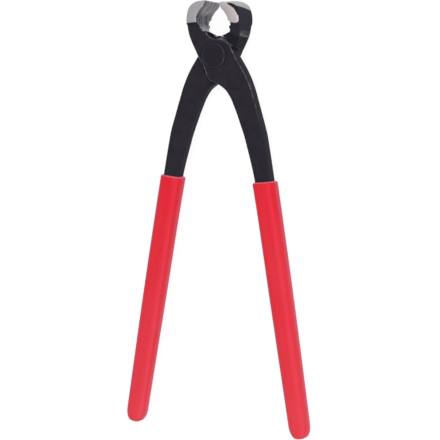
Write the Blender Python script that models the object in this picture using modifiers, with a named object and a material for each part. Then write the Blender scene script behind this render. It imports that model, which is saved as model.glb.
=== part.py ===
"""Rebar tying pliers: two forged levers on one rivet, with dipped plastic grips.

Metres, +Z up. The tool lies flat, jaws towards +Y, and the origin is the centre of the rivet's rear face.
The lever is drawn once, with the jaws shut and its middle plane at z = 0: jaw on the -X side, handle on the
+X side, outer face up. The rear lever is the same forging turned half a turn about Y. Both then swing open.
"""
import math

import bmesh
import bpy
from mathutils import Matrix, Vector, geometry

MM = 0.001

# Head, measured with the jaws shut
EDGE_REACH = 31.1 * MM
EDGE_LAND = 0.5 * MM
EDGE_GAP = 0.3 * MM
EDGE_SKEW = 1.2 * MM
JAW_SPREAD = 13.7 * MM
JAW_HOLLOW = 7.1 * MM
JAW_DEPTH = 19.0 * MM
HOLLOW_FLARE = 1.6 * MM
WIRE_NOTCH_RADIUS = 1.7 * MM
WIRE_NOTCH_DEPTH = 5.5 * MM

# Lap joint
LAP_RADIUS = 11.5 * MM
JOINT_DEPTH = 13.6 * MM
LAP_GAP = 0.3 * MM
POCKET_TUCK = 0.25 * MM
POCKET_OFFSET = 2.5 * MM
POCKET_DIRECTION = math.radians(165)

# Handles, which start a share of the lap's radius below the pivot
HANDLE_ROOT_SHARE = 1.95
HANDLE_REACH = 219.2 * MM
HANDLE_SPREAD = 21.4 * MM
HANDLE_BOW = 18.8 * MM
HANDLE_THICKNESS = 7.4 * MM
HANDLE_TIP_THICKNESS = 6.4 * MM
HANDLE_ROOT_WIDTH = 14.5 * MM
HANDLE_RIM_WIDTH = 9.8 * MM
HANDLE_TIP_WIDTH = 8.0 * MM

# Grips
GRIP_RIM = 75.0 * MM
GRIP_WALL = 1.8 * MM
GRIP_GAP = 0.25 * MM
GRIP_END_WALL = 5.0 * MM
GRIP_CORNER = 4.2 * MM
GRIP_RIM_EDGE = 1.1 * MM
GRIP_DOME = 7.6 * MM
GRIP_TIP_FLAT = 1.6 * MM
GRIP_END_EDGE = 2.6 * MM

# Rivet
RIVET_HEAD_RADIUS = 7.3 * MM
RIVET_SHANK_RADIUS = 4.5 * MM
RIVET_PROUD = 1.2 * MM
RIVET_EDGE = 0.6 * MM
RIVET_SEAT = 2.2 * MM
RIVET_GAP = 0.2 * MM

# Edge radii of the forging
GROUND_EDGE = 0.25 * MM
FORGED_EDGE = 0.7 * MM
HANDLE_EDGE = 1.0 * MM
BROW_EDGE = 0.8 * MM

# How far the nose's edge leans out from its middle to the lap face
NOSE_DRAFT = 1.0 * MM

# Pose: how far each lever is swung from shut
MOUTH_HALF_ANGLE = math.radians(8.4)

# Facets
SPAN_STEPS = 4
CORNER_STEPS = 3
ROUND_STEPS = 48
END_STEPS = 4

# Largest edge radius as a share of a section's smaller side, and how far a quarter round drops at its middle
EDGE_LIMIT = 0.45
QUARTER_DROP = 1 - math.cos(math.pi / 4)

RIVET_FACE = JOINT_DEPTH / 2 + RIVET_PROUD


class Section:
    """One cross-section of a bar: its two side points, face heights, edge radii and side skews.

    A skew moves a side's show edge towards the outer side, and its lap edge as far the other way.
    """

    def __init__(self, outer, inner, show, lap, edges, skews=(0.0, 0.0)):
        self.outer = Vector(outer)
        self.inner = Vector(inner)
        self.show = show
        self.lap = lap
        self.edges = edges
        self.skews = skews

    def grown(self, margin, edge=None, face_margin=None):
        """The same section with its sides moved out by a margin, and its faces too, or by one of their own."""
        if face_margin is None:
            face_margin = margin
        side = (self.inner - self.outer).normalized() * margin
        edges = [edge] * 4 if edge else [radius + margin for radius in self.edges]
        show, lap = self.show + face_margin, self.lap - face_margin
        return Section(self.outer - side, self.inner + side, show, lap, edges)

    def moved(self, shift):
        return Section(self.outer + shift, self.inner + shift, self.show, self.lap, self.edges, self.skews)

    def ring(self):
        """Points round the section, outer show edge first."""
        across = self.inner - self.outer
        width = across.length
        across.normalize()
        limit = EDGE_LIMIT * min(width, self.show - self.lap)
        outer_skew, inner_skew = self.skews
        corners = [
            (-outer_skew, self.show, 1, -1, math.pi),
            (width - inner_skew, self.show, -1, -1, math.pi / 2),
            (width + inner_skew, self.lap, -1, 1, 0.0),
            (outer_skew, self.lap, 1, 1, -math.pi / 2),
        ]
        points = []
        for (along, height, to_middle, to_plane, start), edge in zip(corners, self.edges):
            radius = min(edge, limit)
            for step in range(CORNER_STEPS + 1):
                angle = start - step / CORNER_STEPS * math.pi / 2
                spot = self.outer + across * (along + radius * (to_middle + math.cos(angle)))
                points.append(Vector((spot.x, spot.y, height + radius * (to_plane + math.sin(angle)))))
        return points


def mix(first, second, share):
    return first + (second - first) * share


def smooth(points):
    """A curve through the points, with the same number of steps in every span."""
    last = len(points) - 1
    tangents = []
    for index in range(last + 1):
        ahead = points[min(index + 1, last)]
        behind = points[max(index - 1, 0)]
        tangents.append((ahead - behind).normalized())
    curve = [points[0]]
    for index in range(last):
        start, end = points[index], points[index + 1]
        reach = (end - start).length / 3
        pull_out = start + tangents[index] * reach
        pull_in = end - tangents[index + 1] * reach
        curve.extend(geometry.interpolate_bezier(start, pull_out, pull_in, end, SPAN_STEPS + 1)[1:])
    return curve


def eased(values):
    """Numbers between the values, with no kinks and no overshoot."""
    steps = [after - before for before, after in zip(values, values[1:])]
    slopes = [0.0]
    for before, after in zip(steps, steps[1:]):
        slopes.append(2 * before * after / (before + after) if before * after > 0 else 0.0)
    slopes.append(0.0)
    fine = [values[0]]
    for index, step in enumerate(steps):
        for part in range(1, SPAN_STEPS + 1):
            share = part / SPAN_STEPS
            rise = share ** 2 * (3 - 2 * share)
            leave = share * (1 - share) ** 2
            arrive = share ** 2 * (share - 1)
            fine.append(values[index] + rise * step + leave * slopes[index] + arrive * slopes[index + 1])
    return fine


def refine(sections):
    """The sections with smooth ones put in between."""
    outers = smooth([section.outer for section in sections])
    inners = smooth([section.inner for section in sections])
    shows = eased([section.show for section in sections])
    laps = eased([section.lap for section in sections])
    edges = zip(*[eased([section.edges[corner] for section in sections]) for corner in range(4)])
    skews = zip(*[eased([section.skews[side] for section in sections]) for side in range(2)])
    return [Section(*values) for values in zip(outers, inners, shows, laps, edges, skews)]


def loft(name, sections):
    """A closed mesh through the rings of the sections."""
    bm = bmesh.new()
    rings = [[bm.verts.new(point) for point in section.ring()] for section in sections]
    count = len(rings[0])
    for here, there in zip(rings, rings[1:]):
        for index in range(count):
            following = (index + 1) % count
            bm.faces.new((here[index], here[following], there[following], there[index]))
    bm.faces.new(rings[0])
    bm.faces.new(rings[-1])
    bmesh.ops.recalc_face_normals(bm, faces=bm.faces)
    bmesh.ops.triangulate(bm, faces=bm.faces)
    return finished(bm, name)


def finished(bm, name):
    mesh = bpy.data.meshes.new(name)
    bm.to_mesh(mesh)
    bm.free()
    return mesh


def jaw_sections():
    """The claw, from the cutting edge round the hollow to the end of its ground faces."""
    half = JAW_DEPTH / 2
    ground = [GROUND_EDGE] * 4
    brow = [GROUND_EDGE, GROUND_EDGE, GROUND_EDGE, BROW_EDGE]
    # Side points as shares of spread or hollow, and of reach; edges; shares of the edge's skew
    shape = [
        ((0.210, 1.014), (0.09, 0.948), brow, (0.4, 0.55)),
        ((0.450, 1.012), (0.21, 0.907), brow, (0.2, 0.65)),
        ((0.745, 0.958), (0.60, 0.836), brow, (0.0, 0.65)),
        ((0.915, 0.832), (0.89, 0.759), brow, (0.0, 0.5)),
        ((0.975, 0.740), (0.98, 0.705), brow, (0.0, 0.3)),
        ((1.000, 0.662), (1.00, 0.650), ground, (0.0, 0.2)),
    ]
    side = -EDGE_GAP / 2
    tip_skews = (EDGE_SKEW / 2, EDGE_SKEW / 2)
    sections = [Section((side, EDGE_REACH), (side, EDGE_REACH - EDGE_LAND), half, -half, ground, tip_skews)]
    for (outer_x, outer_y), (inner_x, inner_y), edges, skews in shape:
        outer = (side - outer_x * (JAW_SPREAD + side), outer_y * EDGE_REACH)
        inner = (side - inner_x * (JAW_HOLLOW + side), inner_y * EDGE_REACH)
        sections.append(Section(outer, inner, half, -half, edges, [share * EDGE_SKEW for share in skews]))
    return sections


def neck_sections(border, lap_start):
    """The forged neck between the jaw's ground border and the start of the lap.

    The hollow's wall leans here: its lap edge stays wide for the wire, its show edge runs on into the nose.
    """
    edges = [FORGED_EDGE, FORGED_EDGE, GROUND_EDGE, FORGED_EDGE]
    # Shares of the way across and down, from border to lap, of both sides; shares of the drop in depth and flare
    shape = [
        ((-0.13, 0.108), (0.046, 0.184), 0.40, 0.31),
        ((-0.24, 0.283), (0.152, 0.402), 0.65, 0.68),
        ((-0.18, 0.463), (0.279, 0.590), 0.85, 1.00),
        ((0.11, 0.644), (0.474, 0.745), 1.00, 0.66),
        ((0.54, 0.825), (0.729, 0.879), 1.00, 0.33),
    ]
    sections = []
    for outer_shares, inner_shares, drop, flare in shape:
        outer = [mix(a, b, share) for a, b, share in zip(border.outer, lap_start.outer, outer_shares)]
        inner = [mix(a, b, share) for a, b, share in zip(border.inner, lap_start.inner, inner_shares)]
        depth = mix(border.show, lap_start.show, drop)
        sections.append(Section(outer, inner, depth, -depth, edges, (0.0, -flare * HOLLOW_FLARE)))
    return sections


def lap_sections():
    """The half-thickness lap: waist to heel on one side, nose to shoulder on the other."""
    joint = JOINT_DEPTH / 2
    floor = LAP_GAP / 2
    edges = [FORGED_EDGE, FORGED_EDGE, GROUND_EDGE, GROUND_EDGE]
    # Side points as shares of the lap's radius; height of the lap face; share of the nose's draft
    shape = [
        ((-0.998, 0.348), (-0.150, 1.000), -joint, 0.0),
        ((-0.922, 0.087), (0.075, 0.903), floor, 1.0),
        ((-0.780, -0.191), (0.413, 0.778), floor, 0.6),
        ((-0.661, -0.461), (0.696, 0.661), floor, 0.3),
        ((-0.600, -0.722), (0.886, 0.474), floor, 0.2),
        ((-0.539, -0.974), (0.996, 0.226), floor, 0.2),
        ((-0.440, -1.180), (1.120, -0.140), floor, 0.2),
        ((-0.140, -1.355), (1.275, -0.487), floor, 0.2),
        ((0.105, -1.545), (1.445, -0.870), floor, 0.2),
        ((0.380, -1.815), (1.607, -1.296), floor, 0.1),
    ]
    sections = []
    for outer, inner, lap, draft in shape:
        sides = Vector(outer) * LAP_RADIUS, Vector(inner) * LAP_RADIUS
        sections.append(Section(*sides, joint, lap, edges, (0.0, draft * NOSE_DRAFT)))
    return sections


def handle_line():
    """Centre line of the handle from the joint to its end."""
    root = -HANDLE_ROOT_SHARE * LAP_RADIUS
    return [
        Vector((0.712 * HANDLE_BOW, root)),
        Vector((0.827 * HANDLE_BOW, mix(root, -GRIP_RIM, 0.25))),
        Vector((0.912 * HANDLE_BOW, mix(root, -GRIP_RIM, 0.55))),
        Vector((HANDLE_BOW, -GRIP_RIM)),
        Vector((mix(HANDLE_BOW, HANDLE_SPREAD, 0.58), -(GRIP_RIM + HANDLE_REACH) / 2)),
        Vector((HANDLE_SPREAD, -HANDLE_REACH)),
    ]


def handle_sections():
    """The handle: on the lap's side at the joint, then in the middle plane, tapering to its end."""
    line = handle_line()
    lap_middle = (JOINT_DEPTH / 2 + LAP_GAP / 2) / 2
    lap_thickness = (JOINT_DEPTH - LAP_GAP) / 2
    mean_thickness = (HANDLE_THICKNESS + HANDLE_TIP_THICKNESS) / 2
    # Width, thickness and how much of the lap's offset is left
    shape = [
        (HANDLE_ROOT_WIDTH, lap_thickness, 1.0),
        (mix(HANDLE_ROOT_WIDTH, HANDLE_RIM_WIDTH, 0.33), mix(lap_thickness, HANDLE_THICKNESS, 0.5), 0.6),
        (mix(HANDLE_ROOT_WIDTH, HANDLE_RIM_WIDTH, 0.59), HANDLE_THICKNESS, 0.0),
        (HANDLE_RIM_WIDTH, HANDLE_THICKNESS, 0.0),
        (mix(HANDLE_RIM_WIDTH, HANDLE_TIP_WIDTH, 0.3), mean_thickness, 0.0),
        (HANDLE_TIP_WIDTH, HANDLE_TIP_THICKNESS, 0.0),
    ]
    sections = []
    for index, (width, thickness, share) in enumerate(shape):
        behind = line[max(index - 1, 0)]
        ahead = line[min(index + 1, len(line) - 1)]
        along = (ahead - behind).normalized()
        side = Vector((-along.y, along.x)) * width / 2
        show = lap_middle * share + thickness / 2
        lap = lap_middle * share - thickness / 2
        sections.append(Section(line[index] - side, line[index] + side, show, lap, [HANDLE_EDGE] * 4))
    return sections


def lever_sections():
    jaw = jaw_sections()
    lap = lap_sections()
    return refine(jaw + neck_sections(jaw[-1], lap[0]) + lap + handle_sections())


def gripped(sections):
    """The part of the lever's sections from the grip's rim to the handle's end."""
    return sections[-2 * SPAN_STEPS - 1:]


def grip_mesh(sections):
    """The outside of a grip: a rounded rim, the tapering sleeve and a rounded end past the handle."""
    covered = gripped(sections)
    margin = GRIP_GAP + GRIP_WALL
    rim, following = covered[0], covered[1]
    along = (following.outer + following.inner - rim.outer - rim.inner).normalized()
    sleeve = [
        rim.grown(margin - GRIP_RIM_EDGE, GRIP_CORNER),
        rim.moved(along * GRIP_RIM_EDGE * QUARTER_DROP).grown(margin - GRIP_RIM_EDGE * QUARTER_DROP, GRIP_CORNER),
        rim.moved(along * GRIP_RIM_EDGE).grown(margin, GRIP_CORNER),
    ]
    sleeve += [section.grown(margin, GRIP_CORNER) for section in covered[1:-1]]
    tip = covered[-1]
    taper = HANDLE_TIP_WIDTH / 2 + margin - GRIP_TIP_FLAT
    end = GRIP_GAP + GRIP_END_WALL
    for step in range(END_STEPS + 1):
        angle = step / END_STEPS * math.pi / 2
        to_end = GRIP_DOME * (1 - math.sin(angle))
        into_edge = max(0.0, GRIP_END_EDGE - to_end)
        face_margin = margin - GRIP_END_EDGE + math.sqrt(GRIP_END_EDGE ** 2 - into_edge ** 2)
        side_margin = margin - taper * (1 - math.cos(angle))
        sleeve.append(tip.moved(along * (end - to_end)).grown(side_margin, GRIP_CORNER, face_margin))
    return loft("grip", sleeve)


def grip_bore(sections):
    """What the grip is hollowed by: the handle with a gap all round, run out past the rim."""
    lead_in = sections[-2 * SPAN_STEPS - 2].grown(GRIP_GAP)
    bore = [section.grown(GRIP_GAP) for section in gripped(sections)]
    along = (bore[-1].outer - bore[-2].outer).normalized()
    return loft("grip_bore", [lead_in] + bore + [bore[-1].moved(along * GRIP_GAP)])


def cylinder_mesh(name, radius, bottom, top, centre):
    bm = bmesh.new()
    middle = Matrix.Translation((centre[0], centre[1], (bottom + top) / 2))
    bmesh.ops.create_cone(
        bm, cap_ends=True, segments=ROUND_STEPS, radius1=radius, radius2=radius, depth=top - bottom, matrix=middle
    )
    return finished(bm, name)


def applied(piece, name):
    """A new mesh of the object with its modifiers applied."""
    graph = bpy.context.evaluated_depsgraph_get()
    mesh = bpy.data.meshes.new_from_object(piece.evaluated_get(graph))
    mesh.name = name
    return mesh


def turned_mesh(name, profile):
    """A solid turned about Z from (radius, height) points that run down its outer side."""
    outline = bpy.data.meshes.new(name + "_profile")
    points = [(radius, 0.0, height) for radius, height in profile]
    outline.from_pydata(points, [(index, index + 1) for index in range(len(points) - 1)], [])
    blank = bpy.data.objects.new(name + "_blank", outline)
    bpy.context.scene.collection.objects.link(blank)
    turn = blank.modifiers.new("turn", "SCREW")
    turn.steps = ROUND_STEPS
    turn.render_steps = ROUND_STEPS
    turn.use_merge_vertices = True
    turn.merge_threshold = 0.00001
    mesh = applied(blank, name)
    bpy.data.objects.remove(blank)
    return mesh


def rivet_profile(gap):
    """Half of the rivet's outline, top to bottom, grown by a gap to make its seat."""
    head = RIVET_HEAD_RADIUS + gap
    shank = RIVET_SHANK_RADIUS + gap
    face = RIVET_FACE + gap
    seat = JOINT_DEPTH / 2
    top = [
        (0.0, face),
        (head - RIVET_EDGE, face),
        (head - QUARTER_DROP * RIVET_EDGE, face - QUARTER_DROP * RIVET_EDGE),
        (head, face - RIVET_EDGE),
        (head, seat),
        (shank, seat - RIVET_SEAT - gap),
    ]
    return top + [(radius, -height) for radius, height in reversed(top)]


def add_object(name, mesh, collection):
    piece = bpy.data.objects.new(name, mesh)
    collection.objects.link(piece)
    return piece


def cut(piece, cutter_mesh, collection):
    cutter = add_object(cutter_mesh.name, cutter_mesh, collection)
    cutter.hide_render = True
    cutter.display_type = "WIRE"
    boolean = piece.modifiers.new("cut_" + cutter.name, "BOOLEAN")
    boolean.operation = "DIFFERENCE"
    boolean.solver = "EXACT"
    boolean.object = cutter


def cut_lever(blank, cutters):
    """Pocket for the other lever's nose, wire notches in the hollow's wall and the rivet's seat."""
    pocket_spot = (POCKET_OFFSET * math.cos(POCKET_DIRECTION), POCKET_OFFSET * math.sin(POCKET_DIRECTION))
    pocket_radius = LAP_RADIUS - POCKET_TUCK
    cut(blank, cylinder_mesh("pocket", pocket_radius, -JAW_DEPTH, LAP_GAP / 4, pocket_spot), cutters)
    # Notch centres as shares of the hollow's width and of the edge's reach
    notch_top = WIRE_NOTCH_DEPTH - JAW_DEPTH / 2
    for name, across, along in (("upper_notch", 0.958, 0.627), ("lower_notch", 0.900, 0.508)):
        spot = (-across * JAW_HOLLOW, along * EDGE_REACH)
        cut(blank, cylinder_mesh(name, WIRE_NOTCH_RADIUS, -JAW_DEPTH, notch_top, spot), cutters)
    cut(blank, turned_mesh("rivet_seat", rivet_profile(RIVET_GAP)), cutters)


def finish(piece, colour, roughness, metallic):
    look = bpy.data.materials.new(piece.name + "_finish")
    look.use_nodes = True
    shader = look.node_tree.nodes["Principled BSDF"]
    shader.inputs["Base Color"].default_value = (*colour, 1.0)
    shader.inputs["Roughness"].default_value = roughness
    shader.inputs["Metallic"].default_value = metallic
    piece.data.materials.clear()
    piece.data.materials.append(look)
    piece.data.shade_smooth()
    piece.data.set_sharp_from_angle(angle=math.radians(35))


def build():
    for old in list(bpy.data.objects):
        bpy.data.objects.remove(old)
    parts = bpy.data.collections.new("rebar_tying_pliers")
    cutters = bpy.data.collections.new("cutters")
    bpy.context.scene.collection.children.link(parts)
    bpy.context.scene.collection.children.link(cutters)

    sections = lever_sections()
    lever_blank = add_object("lever_blank", loft("lever_blank", sections), parts)
    cut_lever(lever_blank, cutters)
    grip_blank = add_object("grip_blank", grip_mesh(sections), parts)
    cut(grip_blank, grip_bore(sections), cutters)
    bpy.context.view_layer.update()
    lever_mesh = applied(lever_blank, "lever")
    sleeve_mesh = applied(grip_blank, "sleeve")
    bpy.data.objects.remove(lever_blank)
    bpy.data.objects.remove(grip_blank)

    pivot = bpy.data.objects.new("pivot", None)
    pivot.location.z = RIVET_FACE
    parts.objects.link(pivot)
    for side, turn, swing in (("front", 0.0, 1), ("rear", math.pi, -1)):
        lever = add_object(side + "_lever", lever_mesh.copy(), parts)
        finish(lever, (0.03, 0.03, 0.035), 0.45, 0.6)
        grip = add_object(side + "_grip", sleeve_mesh.copy(), parts)
        finish(grip, (0.75, 0.02, 0.035), 0.35, 0.0)
        for piece in (lever, grip):
            piece.parent = pivot
            piece.rotation_euler = (0.0, turn, swing * MOUTH_HALF_ANGLE)
    rivet = add_object("rivet", turned_mesh("rivet", rivet_profile(0.0)), parts)
    finish(rivet, (0.04, 0.04, 0.045), 0.4, 0.6)
    rivet.parent = pivot


build()
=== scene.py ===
"""Looks of the rebar tying pliers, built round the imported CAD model.

The levers, the rivet and the grips are drawn again here with finer curves, with the ground and milled zones
of the jaws as faces of their own, and with procedural finishes. Everything is in metres, in the CAD model's
frame.
"""
import math

import bmesh
import bpy
from mathutils import Euler, Matrix, Vector, geometry


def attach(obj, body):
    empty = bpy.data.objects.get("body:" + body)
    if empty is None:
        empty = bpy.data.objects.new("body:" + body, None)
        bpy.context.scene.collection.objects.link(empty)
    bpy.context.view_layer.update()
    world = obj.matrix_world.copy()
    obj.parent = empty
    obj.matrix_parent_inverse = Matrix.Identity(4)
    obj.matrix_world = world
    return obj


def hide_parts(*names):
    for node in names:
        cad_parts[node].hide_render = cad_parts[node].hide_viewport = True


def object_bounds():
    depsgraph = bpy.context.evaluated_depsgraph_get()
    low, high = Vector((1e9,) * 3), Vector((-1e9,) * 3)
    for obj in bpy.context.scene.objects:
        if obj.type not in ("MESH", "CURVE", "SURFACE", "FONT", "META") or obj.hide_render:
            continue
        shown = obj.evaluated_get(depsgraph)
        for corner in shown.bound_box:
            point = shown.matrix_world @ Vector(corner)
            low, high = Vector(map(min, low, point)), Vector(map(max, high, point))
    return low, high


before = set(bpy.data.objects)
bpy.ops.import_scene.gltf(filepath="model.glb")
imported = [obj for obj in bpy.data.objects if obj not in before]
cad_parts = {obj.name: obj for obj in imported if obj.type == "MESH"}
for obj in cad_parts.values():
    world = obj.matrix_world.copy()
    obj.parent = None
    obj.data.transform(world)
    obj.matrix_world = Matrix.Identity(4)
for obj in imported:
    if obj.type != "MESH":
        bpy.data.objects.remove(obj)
CAD_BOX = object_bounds()

MM = 0.001

# Head, with the jaws shut
EDGE_REACH = 31.1 * MM
EDGE_LAND = 0.5 * MM
EDGE_GAP = 0.3 * MM
EDGE_SKEW = 1.2 * MM
JAW_SPREAD = 13.7 * MM
JAW_HOLLOW = 7.1 * MM
JAW_DEPTH = 19.0 * MM
HOLLOW_FLARE = 1.6 * MM
WIRE_NOTCH_RADIUS = 1.7 * MM
WIRE_NOTCH_DEPTH = 5.5 * MM

# Middles of the wire notches, as shares of the hollow and of the reach
WIRE_NOTCHES = {"upper_notch": (0.958, 0.627), "lower_notch": (0.900, 0.508)}

# Lap joint
LAP_RADIUS = 11.5 * MM
JOINT_DEPTH = 13.6 * MM
LAP_GAP = 0.3 * MM
POCKET_TUCK = 0.25 * MM
POCKET_OFFSET = 2.5 * MM
POCKET_DIRECTION = math.radians(165)

# Handles
HANDLE_ROOT_SHARE = 1.95
HANDLE_REACH = 219.2 * MM
HANDLE_SPREAD = 21.4 * MM
HANDLE_BOW = 18.8 * MM
HANDLE_THICKNESS = 7.4 * MM
HANDLE_TIP_THICKNESS = 6.4 * MM
HANDLE_ROOT_WIDTH = 14.5 * MM
HANDLE_RIM_WIDTH = 9.8 * MM
HANDLE_TIP_WIDTH = 8.0 * MM

# Grips
GRIP_RIM = 75.0 * MM
GRIP_WALL = 1.8 * MM
GRIP_GAP = 0.25 * MM
GRIP_END_WALL = 5.0 * MM
GRIP_CORNER = 4.2 * MM
GRIP_RIM_EDGE = 1.1 * MM
GRIP_DOME = 7.6 * MM
GRIP_TIP_FLAT = 1.6 * MM
GRIP_END_EDGE = 2.6 * MM
GRIP_LIP_GAP = 0.06 * MM

# How the dipped rims sit: higher on the side towards the other handle, and each at its own height
GRIP_RIM_LEAN = 0.7 * MM
FRONT_RIM_OFFSET = 0.8 * MM
REAR_RIM_OFFSET = -0.6 * MM

# Rivet
RIVET_HEAD_RADIUS = 7.3 * MM
RIVET_SHANK_RADIUS = 4.5 * MM
RIVET_PROUD = 1.2 * MM
RIVET_EDGE = 0.8 * MM
RIVET_SEAT = 2.2 * MM
RIVET_GAP = 0.06 * MM

# Edge radii of the forging
GROUND_EDGE = 0.25 * MM
FORGED_EDGE = 0.7 * MM
HANDLE_EDGE = 1.0 * MM
BROW_EDGE = 1.3 * MM

# How far the nose's edge leans out from its middle to the lap face
NOSE_DRAFT = 1.0 * MM

# How far each lever is swung from shut
MOUTH_HALF_ANGLE = math.radians(8.4)

# Fineness of the meshes
SPAN_STEPS = 10
CORNER_STEPS = 5
FLAT_STEPS = 5
ROUND_STEPS = 96
END_STEPS = 10
EDGE_LIMIT = 0.45
WELD_REACH = 0.004 * MM
SEAM_REACH = 0.001 * MM
SHARP_ANGLE = math.radians(32)

# Rings of the lever's loft that are inside a grip
GRIP_RINGS = 2 * SPAN_STEPS + 1

RIVET_FACE = JOINT_DEPTH / 2 + RIVET_PROUD

# Material slots of a lever
BLACK, GROUND, MILLED, BROW, WORN_GLINT, POCKET, SADDLE, NOSE_FILL, NECK = range(9)

# Faces of a lofted section, counted round its ring, each after the corner of the same number
SHOW_FACE, INNER_WALL, LAP_FACE, OUTER_WALL = range(4)
OUTER_SHOW, INNER_SHOW, INNER_LAP, OUTER_LAP = range(4)


class Section:
    """One cross-section of a bar: its two side points, face heights, edge radii and side skews."""

    def __init__(self, outer, inner, show, lap, edges, skews=(0.0, 0.0)):
        self.outer = Vector(outer)
        self.inner = Vector(inner)
        self.show = show
        self.lap = lap
        self.edges = edges
        self.skews = skews

    def grown(self, margin, edge=None, face_margin=None):
        """The section with its sides moved out by a margin, and its faces by it or by one of their own."""
        if face_margin is None:
            face_margin = margin
        side = (self.inner - self.outer).normalized() * margin
        edges = [edge] * 4 if edge else [radius + margin for radius in self.edges]
        show, lap = self.show + face_margin, self.lap - face_margin
        return Section(self.outer - side, self.inner + side, show, lap, edges)

    def moved(self, shift):
        return Section(self.outer + shift, self.inner + shift, self.show, self.lap, self.edges, self.skews)

    def ring(self):
        """Points round the section, outer show edge first."""
        across = self.inner - self.outer
        width = across.length
        across.normalize()
        limit = EDGE_LIMIT * min(width, self.show - self.lap)
        outer_skew, inner_skew = self.skews
        corners = [
            (-outer_skew, self.show, 1, -1, math.pi),
            (width - inner_skew, self.show, -1, -1, math.pi / 2),
            (width + inner_skew, self.lap, -1, 1, 0.0),
            (outer_skew, self.lap, 1, 1, -math.pi / 2),
        ]
        arcs = []
        for (along, height, to_middle, to_plane, start), edge in zip(corners, self.edges):
            radius = min(edge, limit)
            arc = []
            for step in range(CORNER_STEPS + 1):
                angle = start - step / CORNER_STEPS * math.pi / 2
                spot = self.outer + across * (along + radius * (to_middle + math.cos(angle)))
                arc.append(Vector((spot.x, spot.y, height + radius * (to_plane + math.sin(angle)))))
            arcs.append(arc)
        points = []
        for arc, following in zip(arcs, arcs[1:] + arcs[:1]):
            points += arc
            points += [mix(arc[-1], following[0], step / FLAT_STEPS) for step in range(1, FLAT_STEPS)]
        return points


def mix(first, second, share):
    return first + (second - first) * share


def smooth(points):
    """A curve through the points, with the same number of steps in every span."""
    last = len(points) - 1
    tangents = []
    for index in range(last + 1):
        ahead = points[min(index + 1, last)]
        behind = points[max(index - 1, 0)]
        tangents.append((ahead - behind).normalized())
    curve = [points[0]]
    for index in range(last):
        start, end = points[index], points[index + 1]
        reach = (end - start).length / 3
        pull_out = start + tangents[index] * reach
        pull_in = end - tangents[index + 1] * reach
        curve.extend(geometry.interpolate_bezier(start, pull_out, pull_in, end, SPAN_STEPS + 1)[1:])
    return curve


def eased(values):
    """Numbers between the values, with no kinks and no overshoot."""
    steps = [after - before for before, after in zip(values, values[1:])]
    slopes = [0.0]
    for before, after in zip(steps, steps[1:]):
        slopes.append(2 * before * after / (before + after) if before * after > 0 else 0.0)
    slopes.append(0.0)
    fine = [values[0]]
    for index, step in enumerate(steps):
        for part in range(1, SPAN_STEPS + 1):
            t = part / SPAN_STEPS
            rise = t * t * (3 - 2 * t)
            leave = t * (1 - t) ** 2
            arrive = t * t * (t - 1)
            fine.append(values[index] + rise * step + leave * slopes[index] + arrive * slopes[index + 1])
    return fine


def refine(sections):
    """The sections with smooth ones put in between."""
    outers = smooth([section.outer for section in sections])
    inners = smooth([section.inner for section in sections])
    shows = eased([section.show for section in sections])
    laps = eased([section.lap for section in sections])
    edges = [eased([section.edges[corner] for section in sections]) for corner in range(4)]
    skews = [eased([section.skews[side] for section in sections]) for side in range(2)]
    rows = zip(outers, inners, shows, laps, *edges, *skews)
    return [Section(*values[:4], values[4:8], values[8:]) for values in rows]


def finished(bm, name):
    mesh = bpy.data.meshes.new(name)
    bm.to_mesh(mesh)
    bm.free()
    return mesh


def loft(name, sections, slot_of=None):
    """A closed mesh through the rings of the sections; slot_of gives a face's material slot."""
    bm = bmesh.new()
    rings = [[bm.verts.new(point) for point in section.ring()] for section in sections]
    count = len(rings[0])
    for span, (here, there) in enumerate(zip(rings, rings[1:])):
        for index in range(count):
            following = (index + 1) % count
            face = bm.faces.new((here[index], here[following], there[following], there[index]))
            if slot_of:
                face.material_index = slot_of(span, index)
    start = bm.faces.new(rings[0])
    bm.faces.new(rings[-1])
    if slot_of:
        start.material_index = GROUND
    bmesh.ops.recalc_face_normals(bm, faces=bm.faces)
    bmesh.ops.triangulate(bm, faces=bm.faces)
    return finished(bm, name)


def jaw_sections():
    """The claw, from the cutting edge round the hollow to the end of its ground faces."""
    half = JAW_DEPTH / 2
    ground = [GROUND_EDGE] * 3
    # Side points as shares of spread or hollow, and of reach; share of the brow's edge; shares of the skew
    shape = [
        ((0.210, 1.014), (0.09, 0.948), 0.3, (0.4, 0.55)),
        ((0.450, 1.012), (0.21, 0.907), 1.0, (0.2, 0.65)),
        ((0.745, 0.958), (0.60, 0.836), 1.2, (0.0, 0.65)),
        ((0.915, 0.832), (0.89, 0.759), 0.5, (0.0, 0.5)),
        ((0.975, 0.740), (0.98, 0.705), 0.4, (0.0, 0.3)),
        ((1.000, 0.662), (1.00, 0.650), 0.4, (0.0, 0.2)),
    ]
    side = -EDGE_GAP / 2
    tip_skews = (EDGE_SKEW / 2, EDGE_SKEW / 2)
    tip = (side, EDGE_REACH), (side, EDGE_REACH - EDGE_LAND)
    sections = [Section(*tip, half, -half, ground + [GROUND_EDGE], tip_skews)]
    for (outer_x, outer_y), (inner_x, inner_y), brow, skews in shape:
        outer = (side - outer_x * (JAW_SPREAD + side), outer_y * EDGE_REACH)
        inner = (side - inner_x * (JAW_HOLLOW + side), inner_y * EDGE_REACH)
        edges = ground + [brow * BROW_EDGE]
        sections.append(Section(outer, inner, half, -half, edges, [share * EDGE_SKEW for share in skews]))
    return sections


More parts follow.
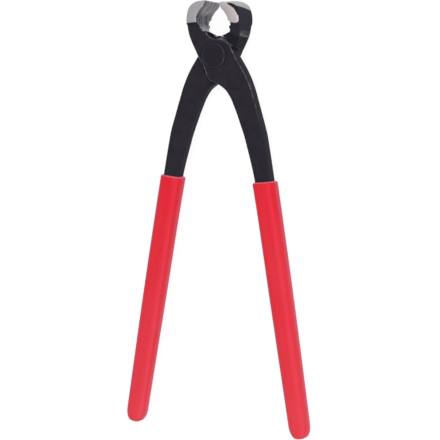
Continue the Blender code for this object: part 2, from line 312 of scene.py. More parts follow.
def neck_sections(border, lap_start):
    """The forged neck between the jaw's ground border and the start of the lap.

    The hollow's wall leans here: its lap edge stays wide for the wire, its show edge runs on into the nose.
    """
    edges = [FORGED_EDGE, FORGED_EDGE, GROUND_EDGE, FORGED_EDGE]
    # Shares of the way across and down, from border to lap, of both sides; share of the drop in depth;
    # share of the flare
    shape = [
        ((-0.13, 0.108), (0.000, 0.184), 0.40, 0.15),
        ((-0.24, 0.283), (0.080, 0.402), 0.65, 0.44),
        ((-0.18, 0.463), (0.190, 0.590), 0.85, 0.70),
        ((0.11, 0.644), (0.474, 0.745), 1.00, 0.66),
        ((0.54, 0.825), (0.729, 0.879), 1.00, 0.33),
    ]
    sections = []
    for outer_shares, inner_shares, drop, flare in shape:
        outer = [mix(a, b, share) for a, b, share in zip(border.outer, lap_start.outer, outer_shares)]
        inner = [mix(a, b, share) for a, b, share in zip(border.inner, lap_start.inner, inner_shares)]
        depth = mix(border.show, lap_start.show, drop)
        sections.append(Section(outer, inner, depth, -depth, edges, (0.0, -flare * HOLLOW_FLARE)))
    return sections


def lap_sections():
    """The half-thickness lap: waist to heel on one side, nose to shoulder on the other."""
    joint = JOINT_DEPTH / 2
    floor = LAP_GAP / 2
    edges = [FORGED_EDGE, FORGED_EDGE, GROUND_EDGE, GROUND_EDGE]
    # Side points as shares of the lap's radius; height of the lap face; share of the nose's draft
    shape = [
        ((-0.998, 0.348), (-0.150, 1.000), -joint, 0.0),
        ((-0.922, 0.087), (0.075, 0.903), floor, 1.0),
        ((-0.780, -0.191), (0.413, 0.778), floor, 0.6),
        ((-0.661, -0.461), (0.696, 0.661), floor, 0.3),
        ((-0.600, -0.722), (0.886, 0.474), floor, 0.2),
        ((-0.539, -0.974), (0.996, 0.226), floor, 0.2),
        ((-0.440, -1.180), (1.120, -0.140), floor, 0.2),
        ((-0.140, -1.355), (1.275, -0.487), floor, 0.2),
        ((0.112, -1.543), (1.445, -0.870), floor, 0.2),
        ((0.380, -1.815), (1.607, -1.296), floor, 0.1),
    ]
    sections = []
    for outer, inner, lap, draft in shape:
        sides = Vector(outer) * LAP_RADIUS, Vector(inner) * LAP_RADIUS
        sections.append(Section(*sides, joint, lap, edges, (0.0, draft * NOSE_DRAFT)))
    return sections


def handle_line():
    """Centre line of the handle from the joint to its end."""
    root = -HANDLE_ROOT_SHARE * LAP_RADIUS
    return [
        Vector((0.704 * HANDLE_BOW, root)),
        Vector((0.754 * HANDLE_BOW, mix(root, -GRIP_RIM, 0.074))),
        Vector((0.827 * HANDLE_BOW, mix(root, -GRIP_RIM, 0.25))),
        Vector((0.912 * HANDLE_BOW, mix(root, -GRIP_RIM, 0.55))),
        Vector((HANDLE_BOW, -GRIP_RIM)),
        Vector((mix(HANDLE_BOW, HANDLE_SPREAD, 0.58), -(GRIP_RIM + HANDLE_REACH) / 2)),
        Vector((HANDLE_SPREAD, -HANDLE_REACH)),
    ]


def handle_sections():
    """The handle: on the lap's side at the joint, then in the middle plane, tapering to its end."""
    line = handle_line()
    lap_middle = (JOINT_DEPTH / 2 + LAP_GAP / 2) / 2
    lap_thickness = (JOINT_DEPTH - LAP_GAP) / 2
    mean_thickness = (HANDLE_THICKNESS + HANDLE_TIP_THICKNESS) / 2
    # Width, thickness and share of the lap's height at each point of the line
    shape = [
        (1.016 * HANDLE_ROOT_WIDTH, lap_thickness, 1.0),
        (mix(HANDLE_ROOT_WIDTH, HANDLE_RIM_WIDTH, 0.106), mix(lap_thickness, HANDLE_THICKNESS, 0.13), 0.92),
        (mix(HANDLE_ROOT_WIDTH, HANDLE_RIM_WIDTH, 0.33), mix(lap_thickness, HANDLE_THICKNESS, 0.5), 0.6),
        (mix(HANDLE_ROOT_WIDTH, HANDLE_RIM_WIDTH, 0.59), HANDLE_THICKNESS, 0.0),
        (HANDLE_RIM_WIDTH, HANDLE_THICKNESS, 0.0),
        (mix(HANDLE_RIM_WIDTH, HANDLE_TIP_WIDTH, 0.3), mean_thickness, 0.0),
        (HANDLE_TIP_WIDTH, HANDLE_TIP_THICKNESS, 0.0),
    ]
    sections = []
    for index, (width, thickness, share) in enumerate(shape):
        behind = line[max(index - 1, 0)]
        ahead = line[min(index + 1, len(line) - 1)]
        along = (ahead - behind).normalized()
        side = Vector((-along.y, along.x)) * width / 2
        show = lap_middle * share + thickness / 2
        lap = lap_middle * share - thickness / 2
        sections.append(Section(line[index] - side, line[index] + side, show, lap, [HANDLE_EDGE] * 4))
    return sections


# How far down the loft, in spans, the ground faces, the milled wall, the neck and the nose's painted fill
# light end
JAW_END = len(jaw_sections()) - 1
WALL_END = JAW_END + 3.4
NECK_END = JAW_END + 6
NOSE_START = JAW_END + 7.6
NOSE_END = JAW_END + 10.6

# Corners of the forging that are rubbed bright and also carry painted glints, and between which spans
WORN_GLINT_SPANS = {
    OUTER_SHOW: (JAW_END + 6, JAW_END + 15),
    INNER_SHOW: (JAW_END + 1.8, JAW_END + 19),
    INNER_LAP: (JAW_END + 11, JAW_END + 12.6),
    OUTER_LAP: (JAW_END + 6, JAW_END + 8),
}
WORN_GLINT_STEPS = range(1, CORNER_STEPS - 1)

# Steps of the jaw's outer lap corner that belong to the brow
BROW_STEPS = range(3, CORNER_STEPS)


def lever_slot(ring, index):
    """Material slot of a lever's face, from how far down the loft it is and where round the ring."""
    place = ring / SPAN_STEPS
    strip, step = divmod(index, CORNER_STEPS + FLAT_STEPS)
    flat = step >= CORNER_STEPS
    if flat and strip == INNER_WALL and place < WALL_END:
        return MILLED
    if flat and strip == INNER_WALL and place < NOSE_END:
        return SADDLE if place < NOSE_START else NOSE_FILL
    if flat and strip == OUTER_WALL and place < NECK_END:
        return BROW
    if place < JAW_END:
        return BROW if strip == OUTER_LAP and step in BROW_STEPS else GROUND
    if place < NECK_END and strip in (LAP_FACE, OUTER_LAP):
        return NECK
    first, last = WORN_GLINT_SPANS.get(strip, (0, 0))
    return WORN_GLINT if step in WORN_GLINT_STEPS and first <= place < last else BLACK


def lever_sections():
    jaw = jaw_sections()
    lap = lap_sections()
    return refine(jaw + neck_sections(jaw[-1], lap[0]) + lap + handle_sections())


def gripped(sections):
    """The part of the lever's sections from the grip's rim to the handle's end."""
    return sections[-GRIP_RINGS:]


def grip_mesh(sections, rim_offset):
    """The outside of a grip: a rounded rim, the tapering sleeve and a rounded end past the handle."""
    covered = gripped(sections)
    margin = GRIP_GAP + GRIP_WALL
    rim, following = covered[0], covered[1]
    along = (following.outer + following.inner - rim.outer - rim.inner).normalized()
    rim = Section(rim.outer - along * GRIP_RIM_LEAN, rim.inner, rim.show, rim.lap, rim.edges)
    sleeve = []
    for step in range(CORNER_STEPS + 1):
        angle = step / CORNER_STEPS * math.pi / 2
        shift = along * (rim_offset + GRIP_RIM_EDGE * (1 - math.cos(angle)))
        sleeve.append(rim.moved(shift).grown(margin - GRIP_RIM_EDGE * (1 - math.sin(angle)), GRIP_CORNER))
    sleeve += [section.grown(margin, GRIP_CORNER) for section in covered[1:-1]]
    tip = covered[-1]
    taper = HANDLE_TIP_WIDTH / 2 + margin - GRIP_TIP_FLAT
    end = GRIP_GAP + GRIP_END_WALL
    for step in range(END_STEPS + 1):
        angle = step / END_STEPS * math.pi / 2
        to_end = GRIP_DOME * (1 - math.sin(angle))
        into_edge = max(0.0, GRIP_END_EDGE - to_end)
        face_margin = margin - GRIP_END_EDGE + math.sqrt(GRIP_END_EDGE ** 2 - into_edge ** 2)
        side_margin = margin - taper * (1 - math.cos(angle))
        sleeve.append(tip.moved(along * (end - to_end)).grown(side_margin, GRIP_CORNER, face_margin))
    return loft("grip", sleeve)


def grip_bore(sections):
    """What the grip is hollowed by: the handle with a hair's gap, run out past the rim."""
    lead_in = sections[-GRIP_RINGS - 1].grown(GRIP_LIP_GAP)
    bore = [section.grown(GRIP_LIP_GAP) for section in gripped(sections)]
    along = (bore[-1].outer - bore[-2].outer).normalized()
    return loft("grip_bore", [lead_in] + bore + [bore[-1].moved(along * GRIP_GAP)])


def cylinder_mesh(name, radius, bottom, top, centre, slot):
    bm = bmesh.new()
    middle = Matrix.Translation((centre[0], centre[1], (bottom + top) / 2))
    bmesh.ops.create_cone(
        bm,
        cap_ends=True,
        segments=ROUND_STEPS,
        radius1=radius,
        radius2=radius,
        depth=top - bottom,
        matrix=middle,
    )
    for face in bm.faces:
        face.material_index = slot
    return finished(bm, name)


def turned_mesh(name, profile):
    """A solid turned about Z from (radius, height) points that run down its outer side."""
    bm = bmesh.new()
    points = [bm.verts.new((radius, 0.0, height)) for radius, height in profile]
    edges = [bm.edges.new(pair) for pair in zip(points, points[1:])]
    bmesh.ops.spin(
        bm,
        geom=points + edges,
        cent=(0, 0, 0),
        axis=(0, 0, 1),
        angle=2 * math.pi,
        steps=ROUND_STEPS,
        use_merge=True,
    )
    bmesh.ops.remove_doubles(bm, verts=bm.verts, dist=SEAM_REACH)
    bmesh.ops.recalc_face_normals(bm, faces=bm.faces)
    return finished(bm, name)


def rivet_profile(gap, edge_steps):
    """Half of the rivet's outline, top to bottom, grown by a gap to make its seat."""
    head = RIVET_HEAD_RADIUS + gap
    shank = RIVET_SHANK_RADIUS + gap
    face = RIVET_FACE + gap
    seat = JOINT_DEPTH / 2
    top = [(0.0, face)]
    for step in range(edge_steps + 1):
        angle = step / edge_steps * math.pi / 2
        top.append((head - RIVET_EDGE * (1 - math.sin(angle)), face - RIVET_EDGE * (1 - math.cos(angle))))
    top += [(head, seat), (shank, seat - RIVET_SEAT - gap)]
    return top + [(radius, -height) for radius, height in reversed(top)]


def add_object(name, mesh):
    piece = bpy.data.objects.new(name, mesh)
    bpy.context.scene.collection.objects.link(piece)
    return piece


def weld(mesh):
    """Close up the slivers that cutting leaves."""
    bm = bmesh.new()
    bm.from_mesh(mesh)
    bmesh.ops.remove_doubles(bm, verts=bm.verts, dist=WELD_REACH)
    bmesh.ops.dissolve_degenerate(bm, edges=bm.edges, dist=WELD_REACH)
    bmesh.ops.triangulate(bm, faces=bm.faces)
    bm.to_mesh(mesh)
    bm.free()


def carved(name, blank, cutters, materials):
    """The blank with the cutters taken away, as a plain mesh."""
    piece = add_object(name + "_blank", blank)
    tools = []
    for material in materials:
        blank.materials.append(material)
    for cutter_mesh in cutters:
        for material in materials:
            cutter_mesh.materials.append(material)
        cutter = add_object(cutter_mesh.name, cutter_mesh)
        tools.append(cutter)
        boolean = piece.modifiers.new(cutter.name, "BOOLEAN")
        boolean.operation = "DIFFERENCE"
        boolean.solver = "EXACT"
        boolean.object = cutter
    bpy.context.view_layer.update()
    graph = bpy.context.evaluated_depsgraph_get()
    mesh = bpy.data.meshes.new_from_object(piece.evaluated_get(graph))
    mesh.name = name
    for scrap in [piece] + tools:
        bpy.data.objects.remove(scrap)
    weld(mesh)
    return mesh


def lever_cutters():
    """Pocket for the other lever's nose, wire notches in the hollow's wall and the rivet's seat."""
    spot = (POCKET_OFFSET * math.cos(POCKET_DIRECTION), POCKET_OFFSET * math.sin(POCKET_DIRECTION))
    pocket_radius = LAP_RADIUS - POCKET_TUCK
    cutters = [cylinder_mesh("pocket", pocket_radius, -JAW_DEPTH, LAP_GAP / 4, spot, POCKET)]
    notch_top = WIRE_NOTCH_DEPTH - JAW_DEPTH / 2
    for name, (across, along) in WIRE_NOTCHES.items():
        spot = (-across * JAW_HOLLOW, along * EDGE_REACH)
        cutters.append(cylinder_mesh(name, WIRE_NOTCH_RADIUS, -JAW_DEPTH, notch_top, spot, MILLED))
    cutters.append(turned_mesh("rivet_seat", rivet_profile(RIVET_GAP, edge_steps=1)))
    return cutters


# Blackened steel at its deepest and palest, on the brow, and with painted shade on brow and neck near the
# joint; its gloss
BLACK_DEEP = (0.0195, 0.0170, 0.0245)
BLACK_PALE = (0.0265, 0.0235, 0.0325)
BROW_BLACK = (0.0200, 0.0175, 0.0320)
BROW_SHADE_BLACK = (0.0055, 0.0048, 0.0075)
NECK_SHADE_BLACK = (0.0135, 0.0120, 0.0160)
BLACK_GLOSS = 0.03

# Steel of the ground faces, the warm one with a painted reflection in it, the hollow's milled wall, the
# facet, and the pocket's grey, a painted fill light
GROUND_GREY = (0.282, 0.277, 0.286)
GROUND_LIT_WARM = (0.520, 0.447, 0.448)
GROUND_STAIN = (0.36, 0.30, 0.32)
WALL_DARK = (0.010, 0.008, 0.018)
WALL_STEEL = (0.36, 0.35, 0.37)
FACET_STEEL = (0.40, 0.39, 0.38)
POCKET_FILL_DARK = (0.055, 0.052, 0.058)
POCKET_FILL_PALE = (0.085, 0.082, 0.09)

# Steel showing through on the forging's edges and round the rivet, also standing in for painted glints; the
# nose's painted fill light
EDGE_GLINT_STEEL = (0.30, 0.295, 0.305)
RIM_GLINT_STEEL = (0.085, 0.081, 0.090)
NOSE_FILL_GREY = (0.30, 0.29, 0.31)

# Dipped plastic at the start of a grip, at its end with a painted reflection, and on its rim with a painted
# highlight; the tints of its gloss and sheen
GRIP_RED = (0.70, 0.001, 0.008)
GRIP_END_SHEEN = (0.75, 0.040, 0.054)
GRIP_RIM_HIGHLIGHT = (0.80, 0.22, 0.29)
GRIP_GLOSS_TINT = (0.85, 0.62, 1.0, 1.0)
GRIP_SHEEN_TINT = (0.7, 0.5, 1.0, 1.0)

# Features per metre along each axis of the noises in the finishes
GRAIN_SCALE = (2600, 2600, 2600)
PATCH_SCALE = (160, 160, 160)
WEAR_GLINT_SCALE = (420, 420, 420)
POCKET_SCALE = (700, 700, 700)
BELT_SCALE = (5200, 160, 900)
CLOUD_SCALE = (150, 150, 150)
CUTTER_SCALE = (90, 90, 4200)
BAND_SCALE = (110, 110, 640)
STAIN_SCALE = (330, 330, 330)
HIGHLIGHT_BREAKUP_SCALE = (300, 500, 120)
SKIN_SCALE = (900, 900, 900)
FLOW_SCALE = (140, 26, 140)

# Directions from the middle of the jaws
OUTWARD = (-1.0, 0.0, 0.0)
DOWNWARD = (0.0, -1.0, 0.0)
BACKWARD = (0.0, 0.0, -1.0)

# Places along and across the lever between which its worn edges and their painted glints fade, and its
# milled wall pales by a painted reflection
WORN_GLINT_START = -8.0 * MM
WORN_GLINT_END = -44.0 * MM
WORN_GLINT_WAIST = -7.0 * MM
WORN_GLINT_NOSE = -2.0 * MM
WORN_GLINT_NOSE_SHARE = 0.38
WALL_PALE_START = 19.2 * MM
WALL_PALE_END = 15.0 * MM
WALL_TOP_START = 23.3 * MM
WALL_TOP_END = 25.3 * MM

# The ground facet on top of the jaw's outer wall, and the black wedge beside it
FACET_SLANT = (1.0, 0.0, 0.11)
FACET_START = -10.77 * MM
WEDGE_SLANT = (0.358, 0.0, 1.0)
WEDGE_START = -11.25 * MM

# Half the width of the change at a painted border
SLANT_BLUR = 0.12 * MM

# Places along a slant between which the painted shade on the neck deepens towards the joint
NECK_SLANT = (-0.34, 1.0, 0.0)
NECK_DARK_START = 18.4 * MM
NECK_DARK_END = 16.6 * MM

# Where the black of the brow and of the cheek below it comes over the ground face's edge on the lap side
BROW_SLANT = (-0.392, 0.920, 0.0)
BROW_START = 29.85 * MM
CHEEK_SLANT = (-0.756, 0.655, 0.0)
CHEEK_START = 25.8 * MM

# Middle of the hollow between the jaws
HOLLOW_CENTRE = (0.0, 20.5 * MM, 0.0)

# The black corner that rounds off the ground face on the lap side
GROUND_CORNER = (-11.6 * MM, 22.4 * MM, 0.0)
GROUND_CORNER_RADIUS = 1.95 * MM

# The painted highlight on the round of the grip's rim
RIM_SLANT = (0.017, 1.0, 0.0)
RIM_START = -75.0 * MM

# The painted highlight band across the widest part of the head, and the most of the steel tone that shows
# there
HIGHLIGHT_BAND_SLANT = (0.0, 1.0, 0.09)
HIGHLIGHT_BAND_LOW = 12.5 * MM
HIGHLIGHT_BAND_MIDDLE = 13.6 * MM
HIGHLIGHT_BAND_HIGH = 16.6 * MM
HIGHLIGHT_BAND_SHARE = 0.4


class Look:
    """A node material under construction."""

    def __init__(self, name):
        self.material = bpy.data.materials.new(name)
        self.material.use_nodes = True
        self.tree = self.material.node_tree
        self.shader = self.tree.nodes["Principled BSDF"]

    def node(self, kind, **settings):
        made = self.tree.nodes.new(kind)
        for key, value in settings.items():
            setattr(made, key, value)
        return made

    def join(self, out, into):
        self.tree.links.new(out, into)

    def put(self, **values):
        for key, value in values.items():
            self.shader.inputs[key.replace("_", " ")].default_value = value

    def place(self, scale):
        """Object coordinates, stretched by a scale per axis."""
        where = self.node("ShaderNodeTexCoord")
        stretch = self.node("ShaderNodeMapping")
        stretch.inputs["Scale"].default_value = scale
        self.join(where.outputs["Object"], stretch.inputs["Vector"])
        return stretch.outputs["Vector"]

    def noise(self, scale, detail, roughness=0.55):
        """Noise in object space, in features per metre along each axis."""
        made = self.node("ShaderNodeTexNoise")
        made.inputs["Scale"].default_value = 1.0
        made.inputs["Detail"].default_value = detail
        made.inputs["Roughness"].default_value = roughness
        self.join(self.place(scale), made.inputs["Vector"])
        return made.outputs["Fac"]

    def ramp(self, source, low, high, start=0.3, end=0.7):
        """A number between low and high as the source goes from start to end."""
        made = self.node("ShaderNodeMapRange")
        made.inputs["From Min"].default_value = start
        made.inputs["From Max"].default_value = end
        made.inputs["To Min"].default_value = low
        made.inputs["To Max"].default_value = high
        self.join(source, made.inputs["Value"])
        return made.outputs["Result"]

    def axis(self, name):
        """One object coordinate."""
        where = self.node("ShaderNodeTexCoord")
        split = self.node("ShaderNodeSeparateXYZ")
        self.join(where.outputs["Object"], split.inputs["Vector"])
        return split.outputs[name]

    def along(self, slant):
        """How far along a slant the place is."""
        where = self.node("ShaderNodeTexCoord")
        made = self.node("ShaderNodeVectorMath", operation="DOT_PRODUCT")
        made.inputs[1].default_value = slant
        self.join(where.outputs["Object"], made.inputs[0])
        return made.outputs["Value"]

    def past(self, slant, start):
        """1 where the place is past the start along a slant, 0 before it."""
        return self.ramp(self.along(slant), 0.0, 1.0, start - SLANT_BLUR, start + SLANT_BLUR)

    def reach(self, spot):
        """How far the place is from a spot, seen along Z."""
        made = self.node("ShaderNodeVectorMath", operation="DISTANCE")
        self.join(self.place((1.0, 1.0, 0.0)), made.inputs[0])
        made.inputs[1].default_value = spot
        return made.outputs["Value"]

    def away(self, spot, radius):
        """1 where the place, seen along Z, is further from a spot than a radius, 0 nearer."""
        return self.ramp(self.reach(spot), 0.0, 1.0, radius - SLANT_BLUR, radius + SLANT_BLUR)

    def painted_joint_shade(self):
        """Mask of painted shade: 1 on the neck near the joint, 0 near the jaw."""
        return self.ramp(self.along(NECK_SLANT), 1.0, 0.0, NECK_DARK_END, NECK_DARK_START)

    def chain(self, operation, sources):
        """One number from several, by the same operation each time."""
        total = sources[0]
        for source in sources[1:]:
            made = self.node("ShaderNodeMath", operation=operation)
            self.join(total, made.inputs[0])
            self.join(source, made.inputs[1])
            total = made.outputs["Value"]
        return total

    def product(self, *sources):
        return self.chain("MULTIPLY", sources)

    def most(self, *sources):
        return self.chain("MAXIMUM", sources)

    def blend(self, *parts):
        """The sum of some numbers, each times its weight."""
        total = None
        for source, weight in parts:
            made = self.node("ShaderNodeMath", operation="MULTIPLY_ADD")
            self.join(source, made.inputs[0])
            made.inputs[1].default_value = weight
            made.inputs[2].default_value = 0.0
            if total:
                self.join(total, made.inputs[2])
            total = made.outputs["Value"]
        return total

    def opposite(self, source):
        return self.ramp(source, 1.0, 0.0, 0.0, 1.0)

    def tint(self, source, first, second):
        """A colour between two as the source goes from 0 to 1; the first may be another node's."""
        made = self.node("ShaderNodeMix", data_type="RGBA")
        if isinstance(first, tuple):
            made.inputs["A"].default_value = (*first, 1.0)
        else:
            self.join(first, made.inputs["A"])
        made.inputs["B"].default_value = (*second, 1.0)
        self.join(source, made.inputs["Factor"])
        return made.outputs["Result"]

    def bump(self, height, strength, distance):
        made = self.node("ShaderNodeBump")
        made.inputs["Strength"].default_value = strength
        made.inputs["Distance"].default_value = distance
        self.join(height, made.inputs["Height"])
        self.join(made.outputs["Normal"], self.shader.inputs["Normal"])


def black_look(name, deep, pale, gloss, joint_shade_black=None):
    """Blackened forging: dark, satin, finely grained, with painted shade near the joint if given."""
    look = Look(name)
    grain = look.noise(GRAIN_SCALE, 5.0)
    patches = look.noise(PATCH_SCALE, 3.0)
    black = look.tint(look.ramp(patches, 0.0, 1.0), deep, pale)
    if joint_shade_black:
        black = look.tint(look.painted_joint_shade(), black, joint_shade_black)
    look.join(black, look.shader.inputs["Base Color"])
    look.join(look.ramp(grain, 0.40, 0.55), look.shader.inputs["Roughness"])
    look.bump(grain, 0.22, 0.04 * MM)
    look.put(Specular_IOR_Level=gloss)
    return look.material


def worn_glint_look(name, bare_glint_steel):
    """Edge where the black is rubbed through to the steel, also standing in for painted glints: most at the
    waist and less down the handle.
    """
    look = Look(name)
    glint_pattern = look.noise(WEAR_GLINT_SCALE, 3.0)
    along = look.ramp(look.axis("Y"), 0.0, 1.0, WORN_GLINT_END, WORN_GLINT_START)
    # Painted glints: strongest at the waist, on the side the lamps light least
    across = look.ramp(look.axis("X"), 1.0, WORN_GLINT_NOSE_SHARE, WORN_GLINT_WAIST, WORN_GLINT_NOSE)
    bare_glint = look.product(look.ramp(glint_pattern, 0.2, 1.0, 0.38, 0.62), along, across)
    look.join(look.tint(bare_glint, BLACK_PALE, bare_glint_steel), look.shader.inputs["Base Color"])
    look.join(bare_glint, look.shader.inputs["Metallic"])
    look.put(Roughness=0.38, Specular_IOR_Level=BLACK_GLOSS)
    return look.material


def pocket_look(name):
    """Machined floor and wall of the pocket: grey with machine marks, lighter than the black as a painted
    fill light in its shade.
    """
    look = Look(name)
    marks = look.noise(POCKET_SCALE, 4.0)
    # Painted fill light: a grey lighter than the black in the pocket's shade
    grey = look.tint(look.ramp(marks, 0.0, 1.0), POCKET_FILL_DARK, POCKET_FILL_PALE)
    look.join(grey, look.shader.inputs["Base Color"])
    look.join(look.ramp(marks, 0.42, 0.56), look.shader.inputs["Roughness"])
    look.put(Metallic=0.5, Specular_IOR_Level=BLACK_GLOSS)
    return look.material


def ground_look(name):
    """Ground steel: slightly warm, with fine belt marks, and a painted reflection that brightens it
    outwards on the lap side.

    On that side the black of the brow and of the neck comes a little over its edges.
    """
    look = Look(name)
    marks = look.noise(BELT_SCALE, 4.0)
    clouds = look.noise(CLOUD_SCALE, 3.0)
    # Painted reflection: brighter on the lap side and outwards from the hollow
    side = look.ramp(look.axis("Z"), 1.0, 0.0, -JAW_DEPTH / 2, JAW_DEPTH / 2)
    lit_outward = look.ramp(look.reach(HOLLOW_CENTRE), 0.1, 1.0, JAW_HOLLOW, JAW_SPREAD)
    belt = look.blend((look.ramp(marks, 0.0, 1.0), 0.12), (look.ramp(clouds, 0.0, 1.0), 0.06))
    marks_and_sheen = look.blend((look.product(side, lit_outward), 0.85), (belt, 1.0))
    plain = look.tint(marks_and_sheen, GROUND_GREY, GROUND_LIT_WARM)
    steel = look.tint(look.ramp(clouds, 0.0, 0.45, 0.40, 0.65), plain, GROUND_STAIN)
    outer = look.past(OUTWARD, -GROUND_CORNER[0])
    lower = look.past(DOWNWARD, -GROUND_CORNER[1])
    behind = look.past(BACKWARD, 0.0)
    corner = look.product(look.away(GROUND_CORNER, GROUND_CORNER_RADIUS), outer, lower, behind)
    wedge = look.opposite(look.past(WEDGE_SLANT, WEDGE_START))
    brow = look.product(look.past(BROW_SLANT, BROW_START), wedge)
    cheek = look.product(look.past(CHEEK_SLANT, CHEEK_START), behind)
    black = look.most(corner, brow, cheek)
    look.join(look.tint(black, steel, BROW_BLACK), look.shader.inputs["Base Color"])
    look.join(look.opposite(black), look.shader.inputs["Metallic"])
    look.join(look.ramp(marks, 0.34, 0.48), look.shader.inputs["Roughness"])
    look.bump(marks, 0.15, 0.03 * MM)
    look.put(Specular_IOR_Level=BLACK_GLOSS)
    return look.material


def milled_look(name):
    """Milled steel of the jaw's hollow: grey, with cutter marks that run round it, paler at its ends by a
    painted reflection.
    """
    look = Look(name)
    fine = look.noise(CUTTER_SCALE, 3.0)
    broad = look.noise(BAND_SCALE, 4.0, 0.65)
    stains = look.noise(STAIN_SCALE, 3.0)
    # Painted reflection: paler low on the wall and brighter at its top end
    low = look.ramp(look.axis("Y"), 1.0, 0.0, WALL_PALE_END, WALL_PALE_START)
    high = look.ramp(look.axis("Y"), -0.13, 0.12, WALL_TOP_START, WALL_TOP_END)
    bands = look.ramp(broad, 0.0, 1.0, 0.36, 0.64)
    lines = look.ramp(fine, 0.0, 1.0)
    spots = look.ramp(stains, 0.0, 1.0)
    marks = look.blend((bands, 0.42), (lines, 0.12), (spots, 0.25))
    marks_and_sheen = look.blend((marks, 1.0), (low, 0.58), (high, 1.0))
    look.join(look.tint(marks_and_sheen, WALL_DARK, WALL_STEEL), look.shader.inputs["Base Color"])
    look.join(look.ramp(fine, 0.34, 0.50), look.shader.inputs["Roughness"])
    look.bump(fine, 0.3, 0.06 * MM)
    look.put(Metallic=1.0)
    return look.material


def brow_look(name):
    """Outer wall of the jaw and neck: black, with painted shade deepening it near the joint.

    It has a ground facet on top and a painted highlight band where the head is widest.
    """
    look = Look(name)
    grain = look.noise(GRAIN_SCALE, 5.0)
    facet = look.product(look.past(FACET_SLANT, FACET_START), look.past(WEDGE_SLANT, WEDGE_START))
    highlight_breakup = look.noise(HIGHLIGHT_BREAKUP_SCALE, 3.0)
    # Painted highlight band across the widest part of the head
    above = look.ramp(look.along(HIGHLIGHT_BAND_SLANT), 0.0, 1.0, HIGHLIGHT_BAND_LOW, HIGHLIGHT_BAND_MIDDLE)
    below = look.ramp(look.along(HIGHLIGHT_BAND_SLANT), 1.0, 0.0, HIGHLIGHT_BAND_MIDDLE, HIGHLIGHT_BAND_HIGH)
    glint_pattern = look.product(above, below, look.ramp(highlight_breakup, 0.0, HIGHLIGHT_BAND_SHARE, 0.35, 0.65))
    bright = look.blend((facet, 1.0), (glint_pattern, 1.0))
    # Painted shade: the brow's black deepens near the joint
    black = look.tint(look.painted_joint_shade(), BROW_BLACK, BROW_SHADE_BLACK)
    look.join(look.tint(bright, black, FACET_STEEL), look.shader.inputs["Base Color"])
    look.join(bright, look.shader.inputs["Metallic"])
    look.join(look.ramp(grain, 0.38, 0.50), look.shader.inputs["Roughness"])
    look.bump(grain, 0.2, 0.04 * MM)
    look.put(Specular_IOR_Level=BLACK_GLOSS)
    return look.material


def grip_look(name, rim_offset):
    """Dipped plastic: red, matt, faintly uneven, paler towards the end by a painted reflection, and with a
    painted highlight on the rim.
    """
    look = Look(name)
    skin = look.noise(SKIN_SCALE, 3.0)
    flow = look.noise(FLOW_SCALE, 2.0)
    # Painted reflection: paler towards the grip's end
    along = look.ramp(look.axis("Y"), 1.0, 0.0, -HANDLE_REACH, -GRIP_RIM)
    pale = look.blend((along, 0.75), (look.ramp(flow, 0.0, 1.0), 0.25))
    # Painted highlight on the round of the rim
    rim = look.ramp(look.past(RIM_SLANT, RIM_START - rim_offset), 0.0, 0.5, 0.0, 1.0)
    red = look.tint(pale, GRIP_RED, GRIP_END_SHEEN)
    look.join(look.tint(rim, red, GRIP_RIM_HIGHLIGHT), look.shader.inputs["Base Color"])
    look.join(look.ramp(skin, 0.44, 0.54), look.shader.inputs["Roughness"])
    look.bump(skin, 0.12, 0.06 * MM)
    look.put(Specular_IOR_Level=0.45, Specular_Tint=GRIP_GLOSS_TINT)
    look.put(Sheen_Weight=0.4, Sheen_Roughness=0.35, Sheen_Tint=GRIP_SHEEN_TINT)
    return look.material


def shade(mesh):
    mesh.shade_smooth()
    mesh.set_sharp_from_angle(angle=SHARP_ANGLE)


def put_piece(name, mesh, turn, swing, body, node):
    piece = add_object(name, mesh)
    shade(mesh)
    evened = piece.modifiers.new("even_normals", "WEIGHTED_NORMAL")
    evened.keep_sharp = True
    turned = Euler((0, turn, swing)).to_matrix().to_4x4()
    piece.matrix_world = Matrix.Translation((0, 0, RIVET_FACE)) @ turned
    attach(piece, body)
    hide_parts(node)


# Material slot of the rivet's rim, and how far its faces look along Z where they are steepest and flattest
RIVET_RIM = 1
RIM_STEEPEST = 0.1
RIM_FLATTEST = 0.95


